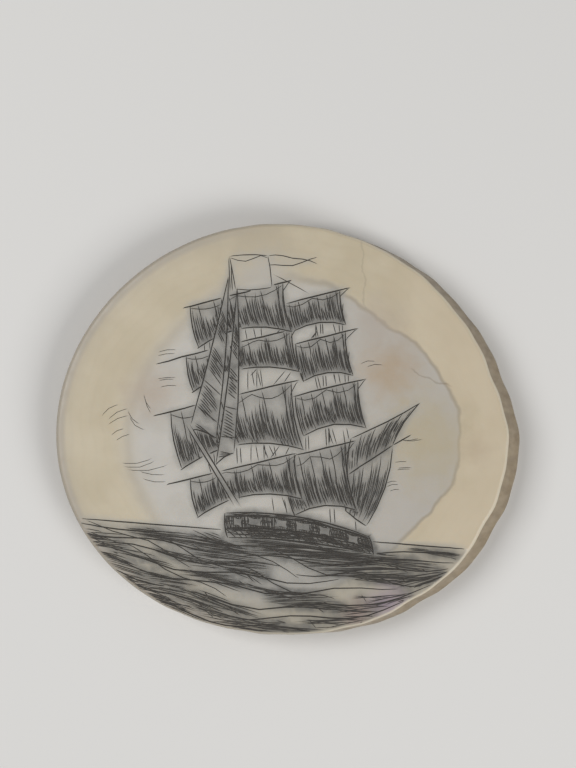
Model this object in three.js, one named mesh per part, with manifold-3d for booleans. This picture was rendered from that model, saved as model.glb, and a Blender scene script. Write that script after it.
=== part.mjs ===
// A slice sawn across a sperm whale's tooth, polished on one face and engraved there with a
// ship under full sail. It lies on its plain back with the picture up.
// Millimetres, +Z up, the origin under the middle of the slice, on the surface it lies on.

import * as THREE from "three";
import { mergeVertices } from "three/addons/utils/BufferGeometryUtils.js";
import Module from "manifold-3d";

// The slice
const faceLength = 58.7; // polished face, the long way
const faceBreadth = 52.8; // polished face, the short way
const longWay = -5; // degrees from +X to the face's long way
const thickness = 5; // face to back
const sideLean = 1.4; // how far the curved tooth carries the back off the face
const leanWay = -12; // degrees, the way the back is carried
const backBevel = 0.35; // broken edge of the sawn back
const rimBluntest = 0.7; // round of the face's rim where it is worn most, opposite the lean
const rimSharpest = 0.25; // round of the rim on the leaning side
const fullness = 0.34; // three-cornered fullness of the oval
const fullnessWay = 90; // degrees to one of its corners

// The tooth's own ridges and hollows, which run through the slice on its leaning side
const ridgeHeight = 0.05;
const ridgeCounts = [23, 38];
const hollows = [
  { at: 31, depth: 0.28, spread: 9 },
  { at: 15, depth: 0.46, spread: 6 },
  { at: -27, depth: 0.24, spread: 5 },
  { at: -50, depth: 0.26, spread: 6 },
];
const corner = { at: -4, height: 0.28, spread: 7 };

// The engraving tool's cut
const cutWidth = 0.22;
const cutDepth = 0.13;
const cutClear = 0.1; // how far the cutter stands above the face
const edgeMargin = 0.25; // between a cut's end and the round of the rim

// How finely the slice is faceted
const aroundSteps = 200;
const rimShares = [0, 0.5, 1]; // of the rim's quarter turn
const bowSteps = 4; // facets along a bowed cut
const swellSteps = 12; // facets along a swell of the sea
const coverSteps = 5; // points along each side of a figure that hides what is behind it
const clipSteps = 60; // places where a line is tried against what covers it
const weld = 1e-4; // corners nearer to each other than this are one

const { degToRad, lerp } = THREE.MathUtils;

// A hollow or ridge seen from above: 1 at its middle, fading to 0 within its spread.
function bell(angle, at, spread) {
  const away = Math.atan2(Math.sin(angle - degToRad(at)), Math.cos(angle - degToRad(at)));
  return Math.exp(-((away / degToRad(spread)) ** 2));
}

// 1 on the leaning side of the slice and 0 opposite.
function leaningSide(angle) {
  return 0.5 + 0.5 * Math.cos(angle - degToRad(leanWay));
}

// The face's outline: an ellipse with a three-cornered fullness, ridged on its leaning side.
function faceRadius(angle) {
  const turned = angle - degToRad(longWay);
  const halfLong = faceLength / 2;
  const halfShort = faceBreadth / 2;
  const ellipse =
    (halfLong * halfShort) / Math.hypot(halfShort * Math.cos(turned), halfLong * Math.sin(turned));
  const full = fullness * Math.cos(3 * (angle - degToRad(fullnessWay)));
  const waves = ridgeCounts.reduce((sum, count) => sum + Math.cos(count * angle), 0);
  const ridges = ridgeHeight * leaningSide(angle) * waves;
  const dents = hollows.reduce((sum, h) => sum + h.depth * bell(angle, h.at, h.spread), 0);
  return ellipse + full + ridges - dents + corner.height * bell(angle, corner.at, corner.spread);
}

function rimRound(angle) {
  return lerp(rimBluntest, rimSharpest, leaningSide(angle));
}

// A point of the side at a height, set in from the side's own surface.
function sidePoint(angle, inset, height) {
  const carried = sideLean * (1 - height / thickness);
  const radius = faceRadius(angle) - inset;
  return [
    radius * Math.cos(angle) + carried * Math.cos(degToRad(leanWay)),
    radius * Math.sin(angle) + carried * Math.sin(degToRad(leanWay)),
    height,
  ];
}

// The side's section from the back up to the face: a bevel, the tooth's own side, a blunt rim.
function sideSection(angle) {
  const rim = rimRound(angle);
  const quarterTurn = rimShares.map((share) => (share * Math.PI) / 2);
  return [
    sidePoint(angle, backBevel, 0),
    sidePoint(angle, 0, backBevel),
    ...quarterTurn.map((turn) =>
      sidePoint(angle, rim * (1 - Math.cos(turn)), thickness - rim * (1 - Math.sin(turn))),
    ),
  ];
}

// The uncut slice: the sections joined round, closed by a flat face and a flat back.
function sliceGeometry() {
  const sections = Array.from({ length: aroundSteps }, (_, i) =>
    sideSection((2 * Math.PI * i) / aroundSteps),
  );
  const rows = sections[0].length;
  const places = sections.flat();
  const triangles = [];
  const backMiddle = places.push([0, 0, 0]) - 1;
  const faceMiddle = places.push([0, 0, thickness]) - 1;
  for (let i = 0; i < aroundSteps; i++) {
    const here = i * rows;
    const next = ((i + 1) % aroundSteps) * rows;
    for (let row = 0; row < rows - 1; row++) {
      triangles.push(here + row, next + row, next + row + 1);
      triangles.push(here + row, next + row + 1, here + row + 1);
    }
    triangles.push(backMiddle, next, here);
    triangles.push(faceMiddle, here + rows - 1, next + rows - 1);
  }
  return new THREE.BufferGeometry()
    .setAttribute("position", new THREE.Float32BufferAttribute(places.flat(), 3))
    .setIndex(triangles);
}

// The picture is drawn on a sheet whose unit is a hundredth of the face's length, with its
// middle a little to the right of the face's middle. A line of it is a way to find the point
// at a share of its length, and the number of facets that its cut takes.
const sheet = faceLength / 100;
const sheetRight = 0.7;

// A line between two points, bowed to its left by a share of its length.
function stroke(from, to, bow = 0) {
  const [x, y] = [to[0] - from[0], to[1] - from[1]];
  const at = (share) => {
    const side = 4 * bow * share * (1 - share);
    return [from[0] + x * share - y * side, from[1] + y * share + x * side];
  };
  return { at, steps: bow === 0 ? 1 : bowSteps };
}

// Lines from point to point and back to the first, each with a bow of its own.
function outline(points, bows = []) {
  return points.map((point, i) => stroke(point, points[(i + 1) % points.length], bows[i]));
}

function moved([x, y], [right, up]) {
  return [x + right, y + up];
}

function evenly(count, place) {
  return Array.from({ length: count }, (_, i) => place(i / (count - 1), i));
}

function polygonOf(lines) {
  const shares = Array.from({ length: coverSteps }, (_, i) => i / coverSteps);
  return lines.flatMap((line) => shares.map(line.at));
}

function covers(polygon, [x, y]) {
  return polygon.reduce((inside, [x1, y1], i) => {
    const [x2, y2] = polygon[(i + 1) % polygon.length];
    const crosses = y1 > y !== y2 > y && x < x1 + ((x2 - x1) * (y - y1)) / (y2 - y1);
    return crosses ? !inside : inside;
  }, false);
}

// A closed figure hides what lies behind it. Open lines only add to it.
function figure(closed, open = []) {
  return { cover: polygonOf(closed), lines: [...closed, ...open] };
}

// The masts: each carries four yards, from the highest down, and each yard one square sail,
// which is bent to the yard's left and right arms for the shares given of each.
const foreMast = {
  head: [-11.6, 38.4],
  foot: [-8.8, -20],
  yards: [
    { middle: [-10, 30], half: 12.6, drop: 9.6, bent: [0.85, 0.84] },
    { middle: [-12.4, 18.6], half: 16.4, drop: 8.2, bent: [0.56, 0.92] },
    { middle: [-12.4, 7.2], half: 17, drop: 13.2, bent: [0.75, 0.88] },
    { middle: [-11.2, -8.4], half: 15.2, drop: 8.8, bent: [0.62, 0.95] },
  ],
};
const mainMast = {
  head: [8.4, 30.6],
  foot: [11.4, -22],
  yards: [
    { middle: [7.6, 29.4], half: 8, drop: 6.8, bent: [0.9, 0.68] },
    { middle: [9.8, 20.6], half: 7.6, drop: 8.6, bent: [0.9, 0.58] },
    { middle: [10.6, 9.4], half: 8.6, drop: 9.2, bent: [0.9, 0.74] },
    { middle: [8, -4.2], half: 8.8, drop: 13, bent: [0.9, 0.7] },
  ],
};
const mastWidths = { head: 0.4, foot: 1 };
const stayHead = [-2, 34.4]; // of the one stay that shows above the sails
const stayFoot = [6.4, 29.8];
const yardRise = 13.5; // degrees that every yard is braced up to the right
const sailFoot = { left: [0.2, -0.95], right: [0.2, -1.12] }; // from the head, in drops
const sailBows = [0, -0.05, -0.12, 0.05]; // head, right side, foot, left side
const foldsPerSail = 6;
const foldsFrom = 0.08; // along the sail's head
const foldsTo = 0.92;
const foldDrops = [0.62, 0.4, 0.8, 0.5]; // taken in turn
const foldSlant = 0.2; // to the right, for each unit down

function alongYard({ middle, half }, share) {
  const rise = degToRad(yardRise);
  return moved(middle, [half * share * Math.cos(rise), half * share * Math.sin(rise)]);
}

// A square sail, full of wind: its right side curves in, its left side out, and its foot up.
// Folds hang from its yard, and the yard's ends are bare.
function squareSail(yard) {
  const [left, right] = [alongYard(yard, -yard.bent[0]), alongYard(yard, yard.bent[1])];
  const footLeft = moved(left, sailFoot.left.map((share) => share * yard.drop));
  const footRight = moved(right, sailFoot.right.map((share) => share * yard.drop));
  const folds = evenly(foldsPerSail, (share, i) => {
    const along = lerp(foldsFrom, foldsTo, share);
    const top = alongYard(yard, lerp(-yard.bent[0], yard.bent[1], along));
    const length = yard.drop * foldDrops[i % foldDrops.length];
    return stroke(top, moved(top, [foldSlant * length, -length]));
  });
  const arms = [stroke(alongYard(yard, -1), left), stroke(right, alongYard(yard, 1))];
  return figure(outline([left, right, footRight, footLeft], sailBows), [...folds, ...arms]);
}

function mast({ head, foot }) {
  return [-0.5, 0.5].map((side) =>
    stroke(moved(head, [side * mastWidths.head, 0]), moved(foot, [side * mastWidths.foot, 0])),
  );
}

// Two long jibs, set on stays that run from the fore mast down to the bowsprit.
const bowspritHeel = [-9.6, -16.8];
const bowspritCap = [-21.2, 1.8];
const bowspritWidths = { heel: 1.3, cap: 0.9 };
const jibs = [
  { head: [-11.9, 34], tack: [-20.6, 0.4], clew: [-14.6, -1.6] },
  { head: [-9.9, 31.5], tack: [-14.6, -7.4], clew: [-10.6, -4.8] },
];
const jibBows = [0.01, 0.08, -0.02]; // luff, foot, leech
const jibFolds = [0.3, 0.5, 0.68, 0.84]; // down the luff
const jibFoldDrop = 0.06; // of the leech, from its point at the luff's height

function bowsprit() {
  const { heel, cap } = bowspritWidths;
  return figure(outline([
    moved(bowspritHeel, [-heel / 2, 0]),
    moved(bowspritCap, [-cap / 2, 0]),
    moved(bowspritCap, [cap / 2, 0]),
    moved(bowspritHeel, [heel / 2, 0]),
  ]));
}

function jib({ head, tack, clew }) {
  const edges = outline([head, tack, clew], jibBows);
  const [luff, , leech] = edges;
  const folds = jibFolds.map((share) =>
    stroke(luff.at(share), leech.at(1 - share - jibFoldDrop)));
  return figure(edges, folds);
}

// The mizzen's fore-and-aft sails, one above the other, between spars raised to the right.
const gaffHeel = [15.4, -1.6];
const gaffPeak = [30.4, 6];
const boomHeel = [14.6, -9.6];
const boomEnd = [28.6, -0.8];
const gaffClew = [24.4, -3.2]; // where both sails end, short of the boom's end
const spankerClew = [18.6, -20.6];
const spankerTack = [14.2, -17.4];
const gaffSailBows = [-0.02, -0.06, 0, 0.06]; // head, leech, foot, luff
const spankerBows = [0, 0.07, 0.03, 0.04];
const gaffFolds = [0.15, 0.35, 0.55, 0.75]; // along the head
const gaffFoldBow = -0.06;
const gaffFoldDrift = 0.06; // of the foot, towards the luff

function gaffSail(corners, bows) {
  const edges = outline(corners, bows);
  const [head, , foot] = edges;
  const folds = gaffFolds.map((share) =>
    stroke(head.at(share), foot.at(1 - share - gaffFoldDrift), gaffFoldBow));
  return figure(edges, folds);
}

// The ensign at the fore masthead, and the forked pennant that streams from its fly.
const ensignWidth = 8.6;
const ensignHeight = 7.2;
const ensignCorners = [[0, 0], [1, 0], [1.1, -0.95], [0.16, -1]]; // in widths and heights
const ensignBows = [0.04, 0.02, 0.05, 0];
const pennantLength = 11;
const pennantHeight = 2;
const pennantEdges = [ // in lengths and heights: hoist, waist and fly of each edge
  [[0, 0], [0.6, -0.3], [1, -1]],
  [[0, -1], [0.6, -0.9], [1, -0.2]],
];
const pennantBows = [0.05, -0.04];

function ensign() {
  const corners = ensignCorners.map(([across, up]) =>
    moved(foreMast.head, [across * ensignWidth, up * ensignHeight]));
  return figure(outline(corners, ensignBows));
}

function pennant() {
  const hoist = moved(foreMast.head, [ensignWidth, 0]);
  return pennantEdges.flatMap((edge) => {
    const points = edge.map(([along, up]) =>
      moved(hoist, [along * pennantLength, up * pennantHeight]));
    return pennantBows.map((bow, i) => stroke(points[i], points[i + 1], bow));
  });
}

// The hull: a long sheer from stem to stern, and a row of gunports between two wales.
const stem = [-12.6, -18];
const stern = [19.2, -23];
const stemDepth = 5.4;
const sternDepth = 3.8;
const stemRake = 0.6; // from the stem's head back to the keel
const sternRake = 1;
const hullBows = [0.055, 0.05, -0.03, 0.06]; // sheer, stern, keel, stem
const waleDepths = [0.15, 0.6]; // shares of the hull's depth
const portCount = 6;
const portsFrom = 0.1; // along the upper wale
const portsTo = 0.92;
const portWidth = 2.5;
const portHeight = 1.6;
const portFall = 0.4; // how much lower a port's right side is
const portClear = 0.3; // below the upper wale

function hull() {
  const keelStem = moved(stem, [stemRake, -stemDepth]);
  const keelStern = moved(stern, [sternRake, -sternDepth]);
  const edges = outline([stem, stern, keelStern, keelStem], hullBows);
  const [sheer, transom, , cutwater] = edges;
  const wales = waleDepths.map((share) =>
    stroke(cutwater.at(1 - share), transom.at(share), hullBows[0]));
  const ports = evenly(portCount, (share) => {
    const topLeft = moved(wales[0].at(lerp(portsFrom, portsTo, share)), [-portWidth / 2, -portClear]);
    const topRight = moved(topLeft, [portWidth, -portFall]);
    const down = [0, -portHeight];
    return outline([topLeft, topRight, moved(topRight, down), moved(topLeft, down)]);
  });
  return figure(edges, [...wales, ...ports.flat()]);
}

// The sea fills the foot of the face. Its long, low swells lie in leaves between the straight
// horizon and a bowed floor, and the face's edge cuts them off.
const seaReach = 50; // to the left and to the right
const horizonHeight = -22.6; // under the face's middle
const horizonSlope = -0.072;
const floorHeight = -46;
const floorRise = 18; // from the middle to the sides
const swellCount = 9;
const swellHeight = 0.8;
const swellLength = 27;
const swellShift = 9; // radians that the waves move along from the horizon to the floor
const swellGap = 3; // between the two stretches of a swell
const swellsFrom = 0.8; // of the way from one swell to the next, from the horizon to the first one
const swellStep = 0.3; // of the way to the next swell, from its left stretch to its right one
const gapsFrom = 0.24; // of the sea's width
const gapsApart = 0.13;
const gapsInTurn = 5;
const calmShare = 0.25; // of the sea, below the horizon, where the waves grow to full height
const crossingCount = 8; // shorter lines that fall to the right across the swells
const crossingsFrom = -44; // the first one's left end
const crossingsTo = 12;
const crossingLength = 24;
const crossingLevels = [0.03, 0.3, 0.14]; // at their left ends, in turn
const crossingFall = 0.34; // of the sea's height

// The height of the sea's surface at x, from level 0 at the horizon to 1 at its floor.
function seaSurface(x, level) {
  const horizon = horizonHeight + horizonSlope * x;
  const floor = floorHeight + floorRise * (x / seaReach) ** 2;
  const wave = Math.sin((2 * Math.PI * x) / swellLength + swellShift * level);
  return lerp(horizon, floor, level) + swellHeight * wave * Math.min(1, level / calmShare);
}

function swell(level, left, right, fall = 0) {
  const at = (share) => {
    const x = lerp(left, right, share);
    return [x, seaSurface(x, level + fall * share)];
  };
  return { at, steps: level === 0 ? 1 : swellSteps };
}

function sea() {
  const swells = Array.from({ length: swellCount }, (_, i) => {
    const leftLevel = (i + swellsFrom) / swellCount;
    const rightLevel = leftLevel + swellStep / swellCount;
    const gap = lerp(-seaReach, seaReach, gapsFrom + gapsApart * (i % gapsInTurn));
    return [swell(leftLevel, -seaReach, gap), swell(rightLevel, gap + swellGap, seaReach)];
  });
  const crossings = evenly(crossingCount, (share, i) => {
    const left = lerp(crossingsFrom, crossingsTo, share);
    const level = crossingLevels[i % crossingLevels.length];
    return swell(level, left, left + crossingLength, crossingFall);
  });
  return [swell(0, -seaReach, seaReach), ...swells.flat(), ...crossings];
}

// The whole picture, from the front to the back. A line shows where nothing in front covers it.
const picture = [
  figure([], pennant()),
  bowsprit(),
  ...jibs.map(jib),
  ensign(),
  hull(),
  ...foreMast.yards.map(squareSail),
  ...mainMast.yards.map(squareSail),
  gaffSail([gaffHeel, gaffPeak, gaffClew, boomHeel], gaffSailBows),
  gaffSail([boomHeel, gaffClew, spankerClew, spankerTack], spankerBows),
  figure([], [...mast(foreMast), ...mast(mainMast), stroke(gaffClew, boomEnd),
    stroke(stayHead, stayFoot)]),
  figure([], sea()),
];

// Where a point of the sheet comes to lie, in millimetres from the face's middle.
function laid([x, y]) {
  return [x * sheet + sheetRight, y * sheet];
}

// Whether a point of the sheet lies on the flat of the face.
function onFace(point) {
  const [x, y] = laid(point);
  const angle = Math.atan2(y, x);
  return Math.hypot(x, y) < faceRadius(angle) - rimRound(angle) - edgeMargin;
}

// The stretches of a line that show, each as its first and last share of the line.
function visibleStretches(line, covering) {
  const stretches = [];
  let start = null;
  for (let i = 0; i <= clipSteps; i++) {
    const share = i / clipSteps;
    const point = line.at(share);
    const shows = onFace(point) && !covering.some((polygon) => covers(polygon, point));
    if (shows && start === null) start = share;
    if (start !== null && (!shows || i === clipSteps)) {
      const end = shows ? share : (i - 1) / clipSteps;
      if (end > start) stretches.push([start, end]);
      start = null;
    }
  }
  return stretches;
}

// The tool that makes one cut: a V section carried along the line, standing clear of the face.
function cutterGeometry(line, [start, end]) {
  const steps = Math.ceil(line.steps * (end - start));
  const route = Array.from({ length: steps + 1 }, (_, i) => {
    const [x, y] = laid(line.at(lerp(start, end, i / steps)));
    return new THREE.Vector3(x, y, thickness);
  });
  const halfWidth = (cutWidth / 2) * (1 + cutClear / cutDepth);
  const section = new THREE.Shape([
    new THREE.Vector2(-cutClear, -halfWidth),
    new THREE.Vector2(cutDepth, 0),
    new THREE.Vector2(-cutClear, halfWidth),
  ]);
  return new THREE.ExtrudeGeometry(section, {
    steps,
    extrudePath: new THREE.CatmullRomCurve3(route),
    bevelEnabled: false,
  });
}

const wasm = await Module();
wasm.setup();

function solidOf(geometry) {
  const bare = geometry.clone();
  bare.deleteAttribute("normal");
  bare.deleteAttribute("uv");
  const merged = mergeVertices(bare, weld);
  return new wasm.Manifold(
    new wasm.Mesh({
      numProp: 3,
      vertProperties: merged.attributes.position.array,
      triVerts: new Uint32Array(merged.index.array),
    }),
  );
}

function geometryOf(solid) {
  const { vertProperties, triVerts } = solid.getMesh();
  const geometry = new THREE.BufferGeometry()
    .setAttribute("position", new THREE.BufferAttribute(vertProperties, 3))
    .setIndex(new THREE.BufferAttribute(triVerts, 1));
  geometry.computeVertexNormals();
  return geometry;
}

// Cuts the visible stretches of every line into the slice.
function engrave(slice) {
  const covering = [];
  const cutters = [];
  for (const { cover, lines } of picture) {
    for (const line of lines) {
      for (const stretch of visibleStretches(line, covering)) {
        cutters.push(solidOf(cutterGeometry(line, stretch)));
      }
    }
    if (cover.length) covering.push(cover);
  }
  return slice.subtract(wasm.Manifold.union(cutters));
}

const ivory = new THREE.MeshStandardMaterial({
  name: "tooth",
  color: new THREE.Color().setRGB(0.72, 0.67, 0.55, THREE.SRGBColorSpace),
  roughness: 0.38,
  metalness: 0,
});

const toothSlice = new THREE.Mesh(geometryOf(engrave(solidOf(sliceGeometry()))), ivory);
toothSlice.name = "tooth_slice";

// The origin goes under the middle of the slice's box.
toothSlice.geometry.computeBoundingBox();
const middle = toothSlice.geometry.boundingBox.getCenter(new THREE.Vector3());
toothSlice.position.set(-middle.x, -middle.y, 0);

const scrimshawSlice = new THREE.Group();
scrimshawSlice.name = "scrimshaw_slice";
scrimshawSlice.add(toothSlice);

export default scrimshawSlice;
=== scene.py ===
"""A slice sawn across a sperm whale's tooth, engraved with a ship under full sail.

The slice lies on its plain back on a pale floor, and the camera looks almost straight down on
the picture. Its outline is an ellipse with a three-cornered fullness, ridged and hollowed on
the side where the curved tooth leans out, and every surface is worked out from that outline.
Camera, lights and floor are in metres, the slice itself in millimetres and degrees.
"""

import bpy
import numpy as np
from mathutils import Matrix, Vector
from mathutils.geometry import delaunay_2d_cdt


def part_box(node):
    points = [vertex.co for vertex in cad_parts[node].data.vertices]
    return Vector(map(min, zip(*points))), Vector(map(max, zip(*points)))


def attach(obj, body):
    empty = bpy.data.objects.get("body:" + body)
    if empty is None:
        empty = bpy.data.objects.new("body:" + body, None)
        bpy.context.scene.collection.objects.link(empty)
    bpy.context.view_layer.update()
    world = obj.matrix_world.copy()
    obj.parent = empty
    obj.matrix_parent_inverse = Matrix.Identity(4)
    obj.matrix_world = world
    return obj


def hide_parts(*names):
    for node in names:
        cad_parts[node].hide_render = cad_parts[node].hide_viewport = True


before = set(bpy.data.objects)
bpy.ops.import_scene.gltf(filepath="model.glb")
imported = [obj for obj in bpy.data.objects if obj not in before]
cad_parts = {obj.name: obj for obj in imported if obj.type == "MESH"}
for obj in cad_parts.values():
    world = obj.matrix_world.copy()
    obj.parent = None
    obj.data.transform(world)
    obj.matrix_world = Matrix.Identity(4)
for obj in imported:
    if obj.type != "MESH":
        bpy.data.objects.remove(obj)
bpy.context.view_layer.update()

# The camera
# It hangs over the slice, a little to the lower right of the picture, so that the leaning
# side shows on the right. The slice lies a little below the middle of the view.
camera_distance = 0.26
camera_elevation = 81.0
camera_azimuth = -12.0
camera_lens = 94.0
aim_right_of_slice = 0.0003
aim_above_slice = 0.0059

slice_low, slice_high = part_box("tooth_slice")
slice_centre = (Vector(slice_low) + Vector(slice_high)) / 2
aim = slice_centre + Vector((aim_right_of_slice, aim_above_slice, 0))
elevation, azimuth = np.radians([camera_elevation, camera_azimuth])
backward = Vector((
    np.cos(elevation) * np.cos(azimuth),
    np.cos(elevation) * np.sin(azimuth),
    np.sin(elevation),
))
rightward = Vector((0, 1, 0)).cross(backward).normalized()
upward = backward.cross(rightward)
camera_data = bpy.data.cameras.new("camera")
camera_data.lens = camera_lens
camera_data.clip_start = 0.01
camera = bpy.data.objects.new("camera", camera_data)
camera.matrix_world = Matrix((
    (rightward.x, upward.x, backward.x, aim.x + backward.x * camera_distance),
    (rightward.y, upward.y, backward.y, aim.y + backward.y * camera_distance),
    (rightward.z, upward.z, backward.z, aim.z + backward.z * camera_distance),
    (0, 0, 0, 1),
))
bpy.context.collection.objects.link(camera)
bpy.context.scene.camera = camera

# The light
# A large soft box hangs over the left, a smaller one over the lower right, and the room
# gives the rest, so the face is evenly lit and the leaning side is in its own light shade.
light_boxes = {
    "soft_box_left": {"place": (-0.30, 0.08, 0.42), "size": 0.30, "power": 1.35},
    "soft_box_right": {"place": (0.34, -0.24, 0.34), "size": 0.25, "power": 1.3},
}
room_grey = 0.225

for name, box in light_boxes.items():
    lamp_data = bpy.data.lights.new(name, "AREA")
    lamp_data.shape = "SQUARE"
    lamp_data.size = box["size"]
    lamp_data.energy = box["power"]
    lamp = bpy.data.objects.new(name, lamp_data)
    lamp.location = box["place"]
    lamp.rotation_mode = "QUATERNION"
    lamp.rotation_quaternion = (Vector(box["place"]) - slice_centre).to_track_quat("Z", "Y")
    bpy.context.collection.objects.link(lamp)
room = bpy.data.worlds.new("room")
room.use_nodes = True
room.node_tree.nodes["Background"].inputs["Color"].default_value = (
    room_grey, room_grey, room_grey, 1)
bpy.context.scene.world = room
bpy.context.scene.view_settings.view_transform = "Standard"

# The floor
# A plain pale sheet that runs out of the view on every side.
floor_reach = 3.0
floor_colour = (0.78, 0.77, 0.75, 1)
floor_roughness = 0.9

floor_mesh = bpy.data.meshes.new("floor")
floor_mesh.from_pydata(
    [(-floor_reach, -floor_reach, 0), (floor_reach, -floor_reach, 0),
     (floor_reach, floor_reach, 0), (-floor_reach, floor_reach, 0)],
    [], [(0, 1, 2, 3)],
)
floor = bpy.data.objects.new("floor", floor_mesh)
floor_paint = bpy.data.materials.new("pale_floor")
floor_paint.use_nodes = True
floor_shader = floor_paint.node_tree.nodes["Principled BSDF"]
floor_shader.inputs["Base Color"].default_value = floor_colour
floor_shader.inputs["Roughness"].default_value = floor_roughness
floor_mesh.materials.append(floor_paint)
bpy.context.collection.objects.link(floor)

# The slice's form
# One slice of tooth, sawn flat on its back and polished on its face, with the face's rim
# rubbed round. On the side where the tooth curves away it keeps the tooth's own ridges.
face_length = 58.7
face_breadth = 52.8
long_way = -5.0  # from the right to the face's long way
thickness = 1000 * (slice_high[2] - slice_low[2])
side_lean = 1.4  # how far the back is carried off the face
lean_way = -12.0
back_bevel = 0.35
rim_bluntest = 0.7
rim_sharpest = 0.25
fullness = 0.34  # of the oval's three corners
fullness_way = 90.0
ridge_height = 0.05
ridge_counts = (23, 38)
hollows = ((31, 0.28, 9), (15, 0.46, 6), (-27, 0.24, 5), (-50, 0.26, 6))  # way, depth, spread
corner = (-4, -0.28, 7)  # a hollow turned outwards


def bell(angle, at, spread):
    """A hollow seen from above: 1 at its middle, the exponential of minus its square away."""
    away = np.angle(np.exp(1j * (angle - np.radians(at))))
    return np.exp(-((away / np.radians(spread)) ** 2))


def leaning_side(angle):
    """1 on the leaning side of the slice and 0 opposite: half of one plus the cosine."""
    return 0.5 + 0.5 * np.cos(angle - np.radians(lean_way))


def face_radius(angle):
    """The face's outline: an ellipse plus a third harmonic, ridges, hollows and a corner."""
    turned = angle - np.radians(long_way)
    half_long, half_short = face_length / 2, face_breadth / 2
    ellipse = half_long * half_short / np.hypot(
        half_short * np.cos(turned), half_long * np.sin(turned))
    full = fullness * np.cos(3 * (angle - np.radians(fullness_way)))
    waves = sum(np.cos(count * angle) for count in ridge_counts)
    dents = sum(depth * bell(angle, at, spread) for at, depth, spread in hollows + (corner,))
    return ellipse + full + ridge_height * leaning_side(angle) * waves - dents


def rim_round(angle):
    """The radius of the rim's round: blunt opposite the lean and sharp on the leaning side."""
    return rim_bluntest + (rim_sharpest - rim_bluntest) * leaning_side(angle)


def carried(height):
    """How far the leaning tooth carries a level of the side off the face: straight with depth."""
    way = np.radians(lean_way)
    return side_lean * (1 - height / thickness)[..., None] * np.array([np.cos(way), np.sin(way)])


# The picture
# A full-rigged ship heading left on a swell, cut with a needle and filled with lamp black. It
# is drawn on a sheet whose unit is a hundredth of the face's length, from the front to the
# back: a closed figure hides what is drawn after it.
sheet = face_length / 100
sheet_right = 0.7  # from the face's middle to the sheet's
brink = 0.86  # of the rim's round, where the sheet of the face ends and the side begins
edge_margin = 0.2  # between a cut's end and the brink
line_points = 61  # where each line is tried against what covers it
fewest_points = 3  # of a stretch that is worth cutting
corner_points = 6  # from one corner to the next of a closed figure's polygon
along_line = np.linspace(0, 1, line_points)
heavy, bold, plain, fine, faint, faintest = 0.23, 0.2, 0.15, 0.135, 0.12, 0.11  # cut widths
random = np.random.default_rng(7)
covering = []
washes = []
cuts = []


def polar(points):
    """The distance of points from the face's middle, and their direction."""
    return np.hypot(points[..., 0], points[..., 1]), np.arctan2(points[..., 1], points[..., 0])


def laid(drawn):
    """Where points of the sheet lie on the face, in millimetres from its middle."""
    return drawn * sheet + [sheet_right, 0]


def bowed(start, end, bow=0.0, overshoot=0.0):
    """Lines bowed to their left: start + way s + 4 bow s (1 - s) times the way's left normal."""
    start, end = np.atleast_2d(start).astype(float), np.atleast_2d(end).astype(float)
    way = (end - start)[:, None]
    share = np.linspace(-overshoot, 1 + overshoot, line_points)[None, :, None]
    left = np.stack([-way[..., 1], way[..., 0]], -1)
    bow = np.broadcast_to(bow, len(start))[:, None, None]
    return start[:, None] + way * share + 4 * bow * share * (1 - share) * left


def outline(corners, bows=0.0, overshoot=0.0):
    """The bowed lines from each corner to the next and back to the first."""
    corners = np.asarray(corners, float)
    return bowed(corners, np.roll(corners, -1, 0), bows, overshoot)


def polygon_of(edges):
    """A closed figure's outline as a polygon."""
    return edges[:, :-1:corner_points].reshape(-1, 2)


def inside(points, polygon):
    """Whether points lie in a polygon: a ray to their right crosses an odd number of sides."""
    x, y = points[..., 0, None], points[..., 1, None]
    x1, y1 = polygon.T
    x2, y2 = np.roll(polygon, -1, 0).T
    rise = np.where(y2 == y1, 1.0, y2 - y1)
    crosses = ((y1 > y) != (y2 > y)) & (x < x1 + (x2 - x1) * (y - y1) / rise)
    return crosses.sum(-1) % 2 == 1


def cover_with(edges):
    """Makes a closed figure hide what is drawn later."""
    covering.append(polygon_of(edges))


def wash(edges, strength):
    """Leaves a closed figure smoky with lamp black."""
    washes.append((laid(polygon_of(edges)), strength))


def engrave(lines, width, dark=1.0, knots=5, wobble=0.01):
    """Cuts the stretches of lines that nothing covers, each as a few knots along it.

    A stretch starts and ends where the line stops showing. Its knots are spaced by a cosine,
    closest at both ends, and the needle wobbles off them by a normal deviate.
    """
    on_face = laid(lines)
    away, angle = polar(on_face)
    shows = away < face_radius(angle) - (1 - brink) * rim_round(angle) - edge_margin
    for polygon in covering:
        shows &= ~inside(lines, polygon)
    steps = np.diff(np.pad(shows, ((0, 0), (1, 1))).astype(int), axis=1)
    which, first = np.nonzero(steps == 1)
    last = np.nonzero(steps == -1)[1] - 1
    long_enough = last - first >= fewest_points
    which, first, last = which[long_enough], first[long_enough], last[long_enough]
    spaced = 0.5 - 0.5 * np.cos(np.pi * np.linspace(0, 1, knots))
    at = first[:, None] + (last - first)[:, None] * spaced
    before = np.minimum(at.astype(int), line_points - 2)
    past = (at - before)[..., None]
    which_line = which[:, None]
    path = on_face[which_line, before] * (1 - past) + on_face[which_line, before + 1] * past
    path = path + random.normal(0, 1, path.shape) * wobble
    widths = np.broadcast_to(width, len(lines))[which]
    darks = np.broadcast_to(dark, len(lines))[which]
    cuts.append((path, widths, darks))


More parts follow.
